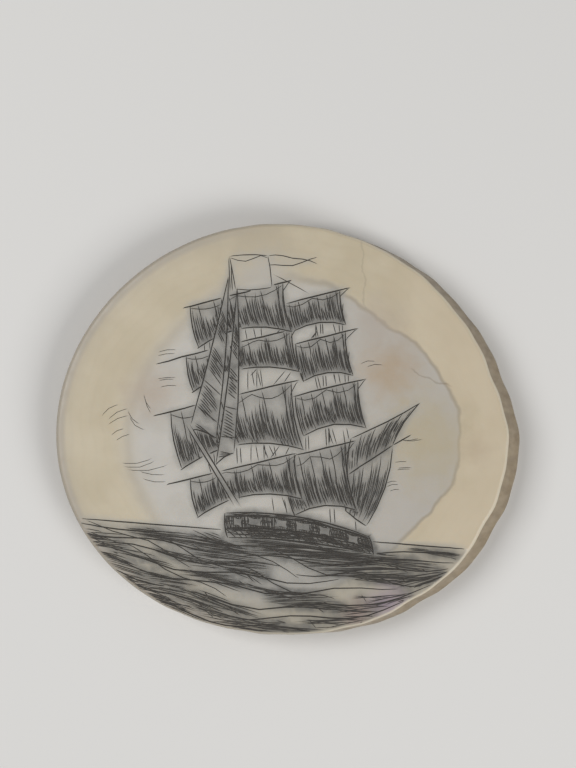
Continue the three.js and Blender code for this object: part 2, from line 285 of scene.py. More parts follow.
def patch(edges):
    """The cloth between four bowed edges, as a function of u across and v down.

    Top and foot blended by v, plus left and right blended by u, less the corners' own blend.
    """
    top, right, foot, left = edges[0], edges[1], edges[2][::-1], edges[3][::-1]

    def along(edge, at):
        return np.stack([np.interp(at, along_line, edge[:, side]) for side in (0, 1)], -1)

    def cloth(u, v):
        a, b = np.asarray(u)[..., None], np.asarray(v)[..., None]
        corners = ((1 - a) * (1 - b) * top[0] + a * (1 - b) * top[-1]
                   + (1 - a) * b * foot[0] + a * b * foot[-1])
        return ((1 - b) * along(top, u) + b * along(foot, u)
                + (1 - a) * along(left, v) + a * along(right, v) - corners)

    return cloth


def hatched(cloth, u, high, low, drift=0.0):
    """Lines down a cloth from v = high to v = low at each u, drifting across as they fall."""
    v = high[:, None] + (low - high)[:, None] * along_line
    return cloth(u[:, None] + np.broadcast_to(drift, len(u))[:, None] * along_line, v)


# The pennant and the ensign at the fore masthead. The pennant's edges run through heights at
# its hoist, waist and fly, and flutter a little.
fore_head = np.array([-11.6, 38.4])
ensign_size = np.array([8.6, 7.2])
ensign_corners = fore_head + ensign_size * [[0, 0], [1, 0], [1.1, -0.95], [0.16, -1]]
ensign_edges = outline(ensign_corners, [0.04, 0.02, 0.05, 0], 0.02)
pennant_hoist = fore_head + ensign_size * [1, 0]
pennant_size = np.array([11, 2])
pennant_waist = 0.6
for heights in ([0, -0.3, -1], [-1, -0.9, -0.2]):
    edge = np.polyval(np.polyfit([0, pennant_waist, 1], heights, 2), along_line)
    edge = edge + 0.1 * np.sin(3 * np.pi * along_line)
    engrave((pennant_hoist + pennant_size * np.stack([along_line, edge], -1))[None], plain, knots=9)

# The bowsprit: two long lines from the hull to its cap.
sprit_heel, sprit_cap = np.array([-9.6, -16.8]), np.array([-21.2, 1.8])
heel_half, cap_half = np.array([0.65, 0]), np.array([0.45, 0])
sprit = outline([sprit_heel - heel_half, sprit_cap - cap_half,
                 sprit_cap + cap_half, sprit_heel + heel_half])
engrave(sprit[[0, 2]], bold)
cover_with(sprit)

# The jibs: two long narrow sails, hatched in groups of short strokes across the cloth. Each
# has its head, its tack and its clew.
jibs = (
    ((-11.9, 34), (-20.6, 0.4), (-14.6, -1.6)),
    ((-9.9, 31.5), (-14.6, -7.4), (-10.6, -4.8)),
)
jib_bows = (0.01, 0.08, -0.02)
jib_folds = np.array([0.3, 0.5, 0.68, 0.84])
jib_strokes, jib_bunches = 90, 26
jib_smoke = 0.42
for corners in jibs:
    edges = outline(corners, jib_bows, 0.01)
    engrave(edges, bold, knots=9, wobble=0.02)
    luff, leech = edges[0], edges[2][::-1]
    at = (jib_folds * (line_points - 1)).astype(int)
    engrave(bowed(luff[at], leech[np.minimum(at + 4, line_points - 1)]), plain)
    down = np.linspace(0.14, 0.96, jib_strokes) + random.normal(0, 0.003, jib_strokes)
    down = down[np.sin(jib_bunches * down + 0.6) > -0.4]
    at = (down * (line_points - 1)).astype(int)
    width_here = leech[np.minimum(at + 6, line_points - 1)] - luff[at]
    near, far = random.uniform(0, 0.15, (len(at), 1)), random.uniform(0.5, 1, (len(at), 1))
    engrave(bowed(luff[at] + near * width_here, luff[at] + far * width_here, 0.03),
            plain, random.uniform(0.8, 1, len(at)), knots=4)
    wash(edges, jib_smoke)
    cover_with(edges)

# The ensign is bare but for one long fold under its head.
engrave(ensign_edges, plain, knots=6, wobble=0.02)
fold = 0.03 + 0.17 * np.abs(np.sin(np.pi * along_line * 1.1 + 0.3)) ** 1.5
engrave(patch(ensign_edges)(along_line, fold)[None], fine, 0.8, knots=8)
cover_with(ensign_edges)

# The hull: dark strakes above and below a row of light gunports, then upright strokes. Each
# port has its share of the wale and its width. A row of strakes has its highest and lowest
# level, its strokes and the longest share of the hull that one takes. A row of uprights has
# its strokes, their two levels and their drift.
stem, stern = np.array([-12.6, -18.0]), np.array([19.2, -23.0])
keel_stem, keel_stern = stem + [0.6, -5.4], stern + [1.0, -3.8]
sheer_bow = 0.055
hull_edges = outline([stem, stern, keel_stern, keel_stem], [sheer_bow, 0.05, -0.03, 0.06], 0.004)
upper_wale = bowed(stem + [0.09, -0.81], stern + [0.15, -0.57], sheer_bow)[0]
ports = ((0.08, 1.7), (0.2, 2.7), (0.38, 2.4), (0.53, 2.9), (0.68, 2.2), (0.89, 2.0))
port_height, port_fall, port_clear = 1.5, 0.4, 0.3
strakes = ((0.02, 0.15, 40, 0.2), (0.15, 0.6, 90, 0.1), (0.6, 0.99, 150, 0.22))
uprights = ((84, 0.08, 0.68, 0.0), (40, 0.1, 0.7, 0.02), (26, 0.6, 1.0, 0.06))
hull_smoke = 0.5
planking = patch(hull_edges)
for share, wide in ports:
    top_left = upper_wale[round(share * (line_points - 1))] - [wide / 2, port_clear]
    port = outline(top_left + [[0, 0], [wide, -port_fall],
                               [wide, -port_fall - port_height], [0, -port_height]])
    engrave(port, plain, knots=3)
    cover_with(port)
engrave(hull_edges, bold, knots=12)
wales = [planking(along_line, np.full(line_points, level)) for level in (0.15, 0.6)]
engrave(np.stack(wales), bold, knots=12)
for high, low, count, longest in strakes:
    start = random.uniform(-0.02, 0.95, count)
    end = np.minimum(start + random.uniform(0.06, longest, count), 1)
    u = np.clip(start[:, None] + (end - start)[:, None] * along_line, 0, 1)
    v = random.uniform(high, low, count)[:, None]
    v = v + random.normal(0, 0.05, count)[:, None] * along_line
    engrave(planking(u, np.clip(v, high, low)), plain, random.uniform(0.6, 1.0, count), knots=4)
for count, high, low, drift in uprights:
    u = np.clip(np.linspace(0, 1, count) + random.normal(0, 0.003, count), 0, 0.98)
    engrave(hatched(planking, u, np.full(count, high), np.full(count, low), drift),
            plain, random.uniform(0.6, 0.95, count))
wash(hull_edges, hull_smoke)
cover_with(hull_edges)

# The square sails: four to each mast, on yards that are braced up to the right. Each yard has
# its middle, its half length, its sail's drop, and the shares of its left and right arms that
# the sail is bent to. Each coat of shading starts lower down the sail than the one before.
yard_rise = np.radians(13.5)
yards = (
    ((-10, 30), 12.6, 9.6, (0.85, 0.84)),
    ((-12.4, 18.6), 16.4, 8.2, (0.56, 0.92)),
    ((-12.4, 7.2), 17, 13.2, (0.75, 0.88)),
    ((-11.2, -8.4), 15.2, 8.8, (0.62, 0.95)),
    ((7.6, 29.4), 8, 6.8, (0.9, 0.68)),
    ((9.8, 20.6), 7.6, 8.6, (0.9, 0.58)),
    ((10.6, 9.4), 8.6, 9.2, (0.9, 0.74)),
    ((8, -4.2), 8.8, 13, (0.9, 0.7)),
)
sail_bows = (0, -0.05, -0.12, 0.05)  # head, right side, foot, left side
left_side, right_side = np.array([0.2, -0.95]), np.array([0.2, -1.12])  # of the sail's drop
fold_drops = np.array([0.62, 0.4, 0.8, 0.5, 0.62, 0.4])
fold_way = np.array([0.2, -1])
shading_coats = ((0.0, 0.36, 2.2), (0.15, 0.38, 1.9), (0.4, 0.35, 1.9))  # top, flames, closeness
sail_smoke = 0.5


def half_yard(half):
    """The way from a yard's middle to its right end."""
    return half * np.array([np.cos(yard_rise), np.sin(yard_rise)])


for yard_middle, half, drop, bent in yards:
    spar = half_yard(half)
    left, right = yard_middle - bent[0] * spar, yard_middle + bent[1] * spar
    feet = [right + drop * right_side, left + drop * left_side]
    edges = outline([left, right, *feet], sail_bows, 0.02)
    engrave(bowed(yard_middle - spar, yard_middle + spar, 0.004), heavy, knots=7, wobble=0.02)
    engrave(edges[1:], bold, knots=7, wobble=0.015)
    tops = left + np.linspace(0.08, 0.92, len(fold_drops))[:, None] * (right - left)
    engrave(bowed(tops, tops + drop * fold_drops[:, None] * fold_way, 0.03), plain, 0.9)
    cloth = patch(edges)
    span = np.hypot(*(right - left))
    loops = max(2, round(span / 9))
    gather = 0.06 + 0.15 * np.abs(np.sin(np.pi * loops * along_line))
    engrave(cloth(along_line, gather)[None], fine, 0.85, knots=4 * loops + 1)
    engrave(cloth(np.full(line_points, 0.95), along_line * 0.97)[None], plain, 0.9, knots=6)
    brace = cloth(np.full(1, 0.985), np.full(1, 0.24))
    engrave(bowed(yard_middle + 0.99 * spar, brace, -0.08), fine, 0.9, knots=4)
    phase = random.uniform(0, 6)
    bare = 0.02 * (drop - 7)
    for top, flames, closeness in shading_coats:
        count = int(closeness * span)
        u = np.clip(np.linspace(0.02, 0.98, count) + random.normal(0, 0.009, count), 0, 1)
        flame = 0.5 + 0.5 * np.sin(2 * np.pi * (loops + 1) * u + phase)
        high = bare + top + flames * flame ** 0.7 + random.uniform(-0.08, 0.08, count)
        low = np.maximum(random.uniform(0.87, 1.0, count), high + 0.12)
        engrave(hatched(cloth, u, high, low, random.normal(0, 0.008, count)),
                fine, random.uniform(0.55, 0.9, count), knots=4, wobble=0.008)
    wash(edges, sail_smoke)
    cover_with(edges)

# The mizzen's fore-and-aft sails, between spars raised to the right.
gaff_heel, gaff_peak = (15.4, -1.6), (30.4, 6)
boom_heel, boom_end, clew = (14.6, -9.6), (28.6, -0.8), (24.4, -3.2)
mizzen_sails = (
    ((gaff_heel, gaff_peak, clew, boom_heel), (-0.02, -0.06, 0, 0.06)),
    ((boom_heel, clew, (18.6, -20.6), (14.2, -17.4)), (0, 0.07, 0.03, 0.04)),
)
mizzen_folds = np.array([0.15, 0.35, 0.55, 0.75])
mizzen_strokes = 27
mizzen_smoke = 0.38
for corners, bows in mizzen_sails:
    edges = outline(corners, bows, 0.015)
    engrave(edges, bold, knots=7, wobble=0.015)
    cloth = patch(edges)
    heads, feet = np.zeros_like(mizzen_folds), np.ones_like(mizzen_folds)
    engrave(hatched(cloth, mizzen_folds, heads, feet, 0.06), plain, 0.9)
    for top, foot in ((0.05, 0.7), (0.3, 0.95)):
        u = np.linspace(0.03, 0.97, mizzen_strokes)
        u = np.clip(u + random.normal(0, 0.012, mizzen_strokes), 0, 1)
        high = top + 0.3 * (0.5 + 0.5 * np.sin(17 * u))
        high = high + random.uniform(-0.05, 0.05, mizzen_strokes)
        low = high + (foot - high) * random.uniform(0.7, 1.0, mizzen_strokes)
        engrave(hatched(cloth, u, high, low, 0.02),
                faint, random.uniform(0.5, 0.9, mizzen_strokes), knots=4)
    wash(edges, mizzen_smoke)
    cover_with(edges)
engrave(bowed(clew, boom_end), bold)

# The masts, the long stays that show between the sails, each from x, y to x, y, and short
# lines up from the yards.
main_head = np.array([8.4, 30.6])
mast_half = np.array([[-0.5, 0], [0.5, 0]])
for mast_head, mast_foot in ((fore_head, (-8.8, -20)), (main_head, (11.4, -22))):
    engrave(bowed(mast_head + 0.4 * mast_half, mast_foot + mast_half), plain)
stays = np.array([
    (-2, 34.4, 6.4, 29.8), (8.4, 30, -10, 14), (8.4, 30, -7, 12), (8.4, 30, 16.5, -22),
    (8, 22, -9, 2), (8, 22, -7, 0), (8, 9, -7, -12), (8, 9, -4, -14), (9, 22, 19, -22),
    (-9, 9, 5, -20), (-9, 9, 2, -20), (-11.6, 38, -1.5, -19), (-11.6, 38, 1.5, -19.4),
])
engrave(bowed(stays[:, :2], stays[:, 2:], 0.01), fine, 0.9, knots=4)
line_feet = np.array([-0.3, -0.22, 0.3, 0.42, 0.5])
for yard_middle, half, *_ in yards[1:4] + yards[5:]:
    feet = yard_middle + line_feet[:, None] * half_yard(half)
    tops = feet + random.uniform([-1.6, 4], [0.4, 7], (len(feet), 2))
    engrave(bowed(feet, tops, 0.02), fine, 0.9, knots=4)

# The sea: long swells between the straight horizon and a bowed floor, with dark hatched
# backs, cut off by the edge of the face. Each swell's line breaks at a gap and goes on a step
# lower, and shorter lines cross the swells as they fall to the right.
sea_reach = 50.0
horizon_height, horizon_slope = -22.6, -0.072
sea_floor_height, sea_floor_rise = -46, 18
swell_count, swell_height, swell_length, swell_shift = 9, 0.8, 27, 9
calm_share = 0.25  # of the sea, below the horizon, where the waves grow to full height
swells_from = 0.8  # of the way from one swell to the next, from the horizon to the first
swell_gap, swell_step = 3, 0.3
crossing_count, crossing_length, crossing_fall = 8, 24, 0.34
sea_smoke = 0.3


def sea_surface(x, level):
    """The sea's height at x: from the horizon to the floor by level, plus a long sine wave."""
    horizon = horizon_height + horizon_slope * x
    sea_floor = sea_floor_height + sea_floor_rise * (x / sea_reach) ** 2
    wave = np.sin(2 * np.pi * x / swell_length + swell_shift * level)
    grown = np.minimum(1, level / calm_share)
    return horizon + (sea_floor - horizon) * level + swell_height * wave * grown


def sea_lines(left, right, level, fall=0.0):
    """Lines along the sea's surface from left to right, sinking by fall as they go."""
    left, right, level, fall = (
        np.asarray(value, float)[..., None] for value in (left, right, level, fall))
    x = left + (right - left) * along_line
    return np.stack([x, sea_surface(x, level + fall * along_line)], -1)


level = (np.arange(swell_count) + swells_from) / swell_count
gap = -sea_reach + 2 * sea_reach * (0.24 + 0.13 * (np.arange(swell_count) % 5))
engrave(sea_lines([-sea_reach], [sea_reach], [0.0]), bold, knots=16)
wash(sea_lines([-sea_reach, sea_reach], [sea_reach, -sea_reach], [0.0, 1.4]), sea_smoke)
engrave(sea_lines(-sea_reach, gap, level), bold, knots=14, wobble=0.02)
engrave(sea_lines(gap + swell_gap, sea_reach, level + swell_step / swell_count),
        bold, knots=14, wobble=0.02)
start = np.linspace(-44, 12, crossing_count)
level = np.resize([0.03, 0.3, 0.14], crossing_count)
engrave(sea_lines(start, start + crossing_length, level, crossing_fall),
        plain, knots=10, wobble=0.02)

# Dark backs of the swells: lens-shaped patches of close strokes, blackest under the hull.
# Each has its middle along the sea, its level, its length, its depth and its strokes. Towards
# the left they lie flatter than the swells, so that they run out over the edge.
backs = (
    (-12, 0.24, 17, 0.18, 48), (7, 0.18, 32, 0.15, 54), (19, 0.36, 20, 0.13, 32),
    (-25, 0.12, 20, 0.06, 18), (-42, 0.32, 13, 0.11, 18), (26, 0.26, 16, 0.08, 18),
    (34, 0.12, 14, 0.05, 12), (30, 0.5, 15, 0.08, 14), (-15, 0.47, 14, 0.06, 20),
    (-26, 0.58, 12, 0.06, 16), (-36, 0.58, 12, 0.1, 18), (-33, 0.8, 14, 0.13, 21),
    (-23, 0.9, 17, 0.11, 22), (4, 0.62, 15, 0.1, 28), (14, 0.74, 16, 0.06, 16),
    (22, 0.68, 13, 0.08, 10), (-13, 0.7, 15, 0.04, 14), (-10, 0.86, 22, 0.05, 18),
    (3, 0.9, 20, 0.05, 16), (13, 0.88, 18, 0.05, 14), (-20, 0.33, 16, 0.04, 12),
    (-31, 0.4, 14, 0.03, 10), (-3, 0.54, 16, 0.03, 10), (-22, 0.72, 14, 0.04, 12),
)
flat_from, flat_to = -14, -34
flattest = 0.5  # of a swell's slope
back_smoke = 0.8
for x, level, long, deep, count in backs:
    across = np.linspace(-1, 1, count)
    length = long * np.sqrt(1.02 - across ** 2) * random.uniform(0.7, 1.1, count)
    start = x + 0.25 * long * across + random.uniform(-2, 2, count) - length / 2
    levels = np.maximum(level + deep * across + random.normal(0, 0.005, count) - 0.02, 0.01)
    end_levels = levels + random.uniform(0.02, 0.07, count)
    ends = np.stack([np.stack([at, sea_surface(at, deeper)], -1)
                     for at, deeper in ((start, levels), (start + length, end_levels))])
    middles = ends[..., 1].mean(0)
    steepness = np.interp(x, [flat_to, flat_from], [flattest, 1])
    ends[..., 1] = middles + steepness * (ends[..., 1] - middles)
    wash(outline(np.concatenate([ends[0], ends[1][::-1]])), back_smoke)
    engrave(bowed(*ends, random.normal(0.01, 0.012, count)),
            random.uniform(faintest, plain, count), random.uniform(0.4, 0.8, count), knots=4)

# Close strokes that run in from the edge of the face at the lower left, in bunches.
edge_from, edge_to = 206, 264  # round the face from the right
edge_strokes, edge_bunches = 84, 16
turn = np.radians(random.uniform(edge_from, edge_to, edge_strokes))
turn = turn[np.sin(edge_bunches * turn) > -0.2]
away = face_radius(turn) - edge_margin
start = (away * np.array([np.cos(turn), np.sin(turn)])).T / sheet - [sheet_right / sheet, 0]
fall = np.radians(random.uniform(-24, -2, len(turn)))
reach = random.uniform(4, 10, (len(turn), 1))
end = start + reach * np.stack([np.cos(fall), np.sin(fall)], -1)
engrave(bowed(start, end, random.normal(0.02, 0.02, len(turn)), 0.02), fine, 0.75, knots=4)

# The faint strokes of wind and cloud on both sides of the ship. Each group has its first
# stroke's left end, its strokes, their reach to the right and up, and their bow.
wisps = (
    (-28, 11.4, 3, 4.4, 0.4, 0.06), (-28, 17.2, 2, 4.2, 0.5, 0.08), (-40, 3.2, 3, 4.4, 2.6, 0.12),
    (-34.5, 4.6, 2, 3.6, -3, -0.14), (-31, 8, 2, 1.6, -3.2, -0.1), (-36, -7, 3, 9.4, 1.3, -0.1),
    (-32, -9.4, 2, 6.6, -0.8, -0.08), (17.5, 14.6, 2, 3.6, 0.5, 0.12),
    (26, -1.6, 2, 4.6, 0.3, -0.07), (24.6, -6.8, 3, 3.2, 0.2, 0.04),
    (22.8, -11.4, 3, 2.6, 0.5, 0.1), (-38, -1.2, 2, 3.2, 1.4, 0.1),
)
for x, y, count, right, up, bow in wisps:
    step = np.arange(count)[:, None]
    start = np.array([x, y]) + step * [0.5, -0.8] + random.normal(0, 0.25, (count, 2))
    end = start + [right, up] * random.uniform(0.75, 1.1, (count, 2))
    engrave(bowed(start, end, bow * random.uniform(0.7, 1.3, count)), faintest, 0.5, wobble=0.005)

# The slice's mesh
# The face is a sheet of triangles laid out along every cut, and each cut is a V a little over
# half as deep as it is wide. The side and the back follow from the same outline.
groove_slope = 0.55  # of a cut's depth to its width
around = 720  # points on the outline
side_rows = 12
face_pitch, back_pitch = 1.0, 0.9
face_margin = 2.2  # of the rim's round
back_margin = 1.0
round_rings = (-0.6, 0.0, 0.35, 0.65)  # of the rim's round, where rings of points follow it
polish_wave, polish_ripple = 0.012, 0.006
streak_depth, grit_depth = 0.014, 0.004
blade_centre, kerf_pitch, kerf_depth = (-60, 35), 1.7, 0.02


def needle_press(knots):
    """How hard the needle presses at each knot: the root of a half sine, 0 at both ends."""
    return np.sqrt(np.clip(np.sin(np.pi * np.linspace(0, 1, knots)), 0, 1))


def segments_of(path, width, dark):
    """Each stretch between two knots of a cut: its ends, half widths and darkness."""
    press = needle_press(path.shape[1])
    half = 0.5 * width[:, None] * press
    ink = dark[:, None] * np.minimum(1, 1.6 * press)
    ends = np.concatenate([path[:, :-1], path[:, 1:]], -1).reshape(-1, 4)
    pairs = [np.stack([a[:, :-1], a[:, 1:]], -1).reshape(-1, 2) for a in (half, ink)]
    return np.concatenate([ends, *pairs], -1)


def square_key(squares):
    """One whole number for each square of the face, a millimetre wide."""
    return (squares[..., 0] + 100) * 1000 + squares[..., 1] + 100


def cut_at(points):
    """The deepest cut and the darkest ink at each point, from the stretches near it.

    A stretch is a V: its depth falls evenly from its middle line to nothing at its edges.
    Stretches are looked up by the squares of the face that they cross: those of a dozen
    places along each, and of four more about each place.
    """
    nearby = np.array([[0, 0], [0.2, 0.2], [-0.2, 0.2], [0.2, -0.2], [-0.2, -0.2]])
    share = np.linspace(0, 1, 12)[None, :, None]
    run = segments[:, None, 0:2] * (1 - share) + segments[:, None, 2:4] * share
    squares = np.floor(run[:, :, None] + nearby).astype(int).reshape(len(segments), -1, 2)
    keys = square_key(squares)
    owner = np.repeat(np.arange(len(segments)), keys.shape[1])
    both = np.unique(np.stack([keys.ravel(), owner], -1), axis=0)
    key = square_key(np.floor(points).astype(int))
    low, high = np.searchsorted(both[:, 0], key, "left"), np.searchsorted(both[:, 0], key, "right")
    count = high - low
    point = np.repeat(np.arange(len(points)), count)
    offset = np.arange(count.sum()) - np.repeat(np.cumsum(count) - count, count)
    found = segments[both[low[point] + offset, 1]]
    way, from_start = found[:, 2:4] - found[:, 0:2], points[point] - found[:, 0:2]
    along = np.sum(from_start * way, -1) / np.maximum(np.sum(way ** 2, -1), 1e-9)
    along = np.clip(along, 0, 1)
    away = np.hypot(*(from_start - along[:, None] * way).T)
    half = found[:, 4] * (1 - along) + found[:, 5] * along
    dark = found[:, 6] * (1 - along) + found[:, 7] * along
    inward = np.clip(1 - away / np.maximum(half, 1e-6), 0, 1)
    depth, ink = np.zeros(len(points)), np.zeros(len(points))
    np.maximum.at(depth, point, inward * half * 2 * groove_slope)
    np.maximum.at(ink, point, inward * dark)
    return depth, ink


def corridor(path, width):
    """The lines of cuts: a middle one, and two sides that meet it at its ends."""
    way = np.gradient(path, axis=1)
    left = np.stack([-way[..., 1], way[..., 0]], -1)
    left /= np.maximum(np.hypot(left[..., 0], left[..., 1]), 1e-9)[..., None]
    half = 0.5 * width[:, None] * needle_press(path.shape[1])
    reach = half[:, 1:-1, None] * left[:, 1:-1]
    return path, path[:, 1:-1] + reach, path[:, 1:-1] - reach


def chain(ids):
    """The edges that join each row of points in turn."""
    return np.stack([ids[:, :-1], ids[:, 1:]], -1).reshape(-1, 2)


def triangulate(boundary, loose, cut_lines=()):
    """A triangle sheet inside a boundary, with loose points and every cut's lines as edges."""
    points, edges, used = [boundary, loose], [], len(boundary) + len(loose)
    for path, width, _ in cut_lines:
        ids = []
        for line in corridor(path, width):
            ids.append(used + np.arange(line.shape[0] * line.shape[1]).reshape(line.shape[:2]))
            points.append(line.reshape(-1, 2))
            used += line.shape[0] * line.shape[1]
        first, last = ids[0][:, :1], ids[0][:, -1:]
        edges += [chain(ids[0])]
        edges += [chain(np.concatenate([first, side, last], 1)) for side in ids[1:]]
    edges = np.concatenate(edges).tolist() if edges else []
    places, _, triangles, *_ = delaunay_2d_cdt(
        np.concatenate(points).tolist(), edges, [list(range(len(boundary)))], 1, 0.001)
    return np.array(places), np.array(triangles)


def grid_within(pitch, margin_at):
    """Points on a grid of even triangles, a margin inside the face's outline at each angle."""
    column, row = np.meshgrid(np.arange(-60, 61), np.arange(-70, 71))
    points = np.stack([column + 0.5 * (row % 2), row * np.sqrt(0.75)], -1).reshape(-1, 2) * pitch
    away, angle = polar(points)
    return points[away < face_radius(angle) - margin_at(angle)]


def face_height(points):
    """The polished face: flat but for slow waves, and a quarter circle down round the rim."""
    away, angle = polar(points)
    share = np.clip((away - face_radius(angle)) / rim_round(angle) + 1, 0, 0.999)
    down = rim_round(angle) * (1 - np.sqrt(1 - share ** 2))
    x, y = points.T
    waves = (polish_wave * np.sin(x / 5.3 + 1.1) * np.cos(y / 6.1)
             + polish_ripple * np.sin(x / 2.9 - y / 3.4))
    return thickness - down - polish_wave - polish_ripple + waves


round_the_slice = np.linspace(0, 2 * np.pi, around, endpoint=False)
directions = np.stack([np.cos(round_the_slice), np.sin(round_the_slice)], -1)
radius, rim = face_radius(round_the_slice), rim_round(round_the_slice)
brink_ring = (radius - rim * (1 - brink))[:, None] * directions
inner_rings = [(radius - rim * (1 - share))[::2, None] * directions[::2] for share in round_rings]
face_grid = grid_within(face_pitch, lambda angle: face_margin * rim_round(angle))
face_points, face_triangles = triangulate(
    brink_ring, np.concatenate([face_grid, *inner_rings]), cuts)
segments = np.concatenate([segments_of(*cut) for cut in cuts])
depth, ink = cut_at(face_points)
face_heights = face_height(face_points) - depth
face_vertices = np.concatenate([face_points, face_heights[:, None]], -1)

# Below the brink the side falls in rows to the bevel of the back, streaked along the tooth.
share = np.linspace(0, 1, side_rows + 1)[1:]
side_heights = face_heights[:around, None] * (1 - share) + back_bevel * share
down_the_round = np.clip((thickness - side_heights) / rim[:, None], 0, 1)
inset = rim[:, None] * (1 - np.sqrt(1 - (1 - down_the_round) ** 2))
streak = random.normal(0, 1, (around, 1))
streak = streak + np.roll(streak, 1, 0) + np.roll(streak, 2, 0)
grit = random.normal(0, 1, (around, side_rows))
grain = np.abs(streak_depth * streak + grit_depth * grit) * np.sin(np.pi * share)
side_plan = (radius[:, None] - inset - grain)[..., None] * directions[:, None]
side_plan = side_plan + carried(side_heights)
side_vertices = np.concatenate([side_plan, side_heights[..., None]], -1)

# The back keeps the faint arcs of the saw's kerf inside its bevel.
back_middle = carried(np.array(0.0))
bevel_ring = (radius - back_bevel)[:, None] * directions + back_middle
back_grid = grid_within(back_pitch, lambda angle: back_margin) + back_middle
back_points, back_triangles = triangulate(bevel_ring, back_grid)
from_blade = np.hypot(*(back_points - blade_centre).T)
kerf = kerf_depth * (0.5 + 0.5 * np.sin(2 * np.pi * from_blade / kerf_pitch))
kerf[:around] = 0
back_vertices = np.concatenate([back_points, kerf[:, None]], -1)

# The three are joined, and the plan is scaled by a hair to the box of the solid, whose
# outline has fewer points.
face_count, side_count = len(face_vertices), around * side_rows
side_ids = np.concatenate([
    np.arange(around)[:, None],
    face_count + np.arange(side_count).reshape(around, side_rows),
    (face_count + side_count + np.arange(around))[:, None],
], 1)
next_ids = np.roll(side_ids, -1, 0)
quads = np.stack([side_ids[:, :-1], side_ids[:, 1:], next_ids[:, 1:], next_ids[:, :-1]], -1)
quads = quads.reshape(-1, 4)
vertices = np.concatenate([face_vertices, side_vertices.reshape(-1, 3), back_vertices])
plan = vertices[:, :2] - carried(vertices[:, 2])
made_middle = (vertices[:, :2].min(0) + vertices[:, :2].max(0)) / 2
box_size = 1000 * (np.array(slice_high) - np.array(slice_low))[:2]
vertices[:, :2] = (vertices[:, :2] - made_middle) * box_size / np.ptp(vertices[:, :2], axis=0)
triangles = np.concatenate([
    face_triangles,
    quads[:, [0, 1, 2]],
    quads[:, [0, 2, 3]],
    back_triangles[:, ::-1] + face_count + side_count,
])

tooth_mesh = bpy.data.meshes.new("tooth_slice_carved")
tooth_mesh.vertices.add(len(vertices))
tooth_mesh.vertices.foreach_set("co", (vertices / 1000).ravel())
tooth_mesh.loops.add(3 * len(triangles))
tooth_mesh.loops.foreach_set("vertex_index", triangles.ravel())
tooth_mesh.polygons.add(len(triangles))
tooth_mesh.polygons.foreach_set("loop_start", 3 * np.arange(len(triangles)))

# On the colour map the face fills the upper part. The side is a strip along the foot, rolled
# out from the brink down, and the back is a small block beside it.
face_uv_low, face_uv_size = [0.005, 0.24], [0.84, 0.755]
side_uv_low, side_uv_size = [0.005, 0.23], [0.725, -0.22]
back_uv_low, back_uv_size = [0.74, 0.005], [0.25, 0.225]
plan_uv = (vertices[:, :2] - vertices[:, :2].min(0)) / np.ptp(vertices[:, :2], axis=0)
columns = (np.arange(around)[:, None] + [0, 0, 1, 1])[:, None] / around
rows = (np.arange(side_rows + 1)[:, None] + [0, 1, 1, 0])[None] / (side_rows + 1)
strip = np.stack(np.broadcast_arrays(columns, rows), -1).reshape(-1, 4, 2)
strip = side_uv_low + strip * side_uv_size
corner_uv = np.concatenate([
    (face_uv_low + plan_uv * face_uv_size)[face_triangles],
    strip[:, [0, 1, 2]],
    strip[:, [0, 2, 3]],
    (back_uv_low + plan_uv * back_uv_size)[triangles[-len(back_triangles):]],
])
uv_map = tooth_mesh.uv_layers.new(name="OFBake")
uv_map.data.foreach_set("uv", corner_uv.ravel())

# The polished face shades smoothly up to the sharp edges of the cuts.
in_a_cut = np.zeros(len(triangles), bool)
in_a_cut[:len(face_triangles)] = depth[face_triangles].max(1) > 1e-4
tooth_mesh.polygons.foreach_set("use_smooth", ~in_a_cut)
tooth_mesh.update(calc_edges=True)
loop_edges = np.zeros(3 * len(triangles), int)
tooth_mesh.loops.foreach_get("edge_index", loop_edges)
sharp = np.zeros(len(tooth_mesh.edges), bool)
sharp[loop_edges.reshape(-1, 3)[in_a_cut].ravel()] = True
tooth_mesh.attributes.new("sharp_edge", "BOOLEAN", "EDGE").data.foreach_set("value", sharp)

tooth = bpy.data.objects.new("tooth_slice_carved", tooth_mesh)
bpy.context.collection.objects.link(tooth)
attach(tooth, "root")
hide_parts("tooth_slice")

# What the shader reads at every point
# How inked it is, how smoky the lamp black has left the ivory round it, how far it lies
# inside the core and inside the edge, and whether it is on the side.
smoke_pitch = 0.25
smoke_reach = 0.38
smoke_half = 36.0
smoke_from_cuts = 2.0
samples_per_stretch = 8
core_middle_radius = 20.6

# The ink of the cuts, summed over small squares and added to the washes, is blurred by a bell.
way = segments[:, 2:4] - segments[:, :2]
share = np.arange(samples_per_stretch) / samples_per_stretch
samples = segments[:, None, :2] + way[:, None] * share[None, :, None]
weights = np.hypot(*way.T) / samples_per_stretch * segments[:, 4:6].max(1) * segments[:, 6]
squares = np.arange(-smoke_half, smoke_half + smoke_pitch / 2, smoke_pitch)
smoke, *_ = np.histogram2d(*samples.reshape(-1, 2).T, bins=[squares, squares],
                           weights=np.repeat(weights, samples_per_stretch))
smoke *= smoke_from_cuts / smoke_pitch ** 2
centres = (squares[:-1] + squares[1:]) / 2
washed = np.zeros_like(smoke)
for polygon, strength in washes:
    low, high = np.searchsorted(centres, polygon.min(0)), np.searchsorted(centres, polygon.max(0))
    block = (slice(low[0], high[0]), slice(low[1], high[1]))
    block_points = np.stack(np.meshgrid(centres[block[0]], centres[block[1]], indexing="ij"), -1)
    washed[block] = np.maximum(washed[block], strength * inside(block_points, polygon))
smoke += washed
across_pitches = np.fft.fftfreq(smoke.shape[0], smoke_pitch)[:, None]
up_pitches = np.fft.rfftfreq(smoke.shape[1], smoke_pitch)
falloff = np.exp(-2 * (np.pi * smoke_reach) ** 2 * (across_pitches ** 2 + up_pitches ** 2))
smoke = np.fft.irfft2(np.fft.rfft2(smoke) * falloff, smoke.shape)
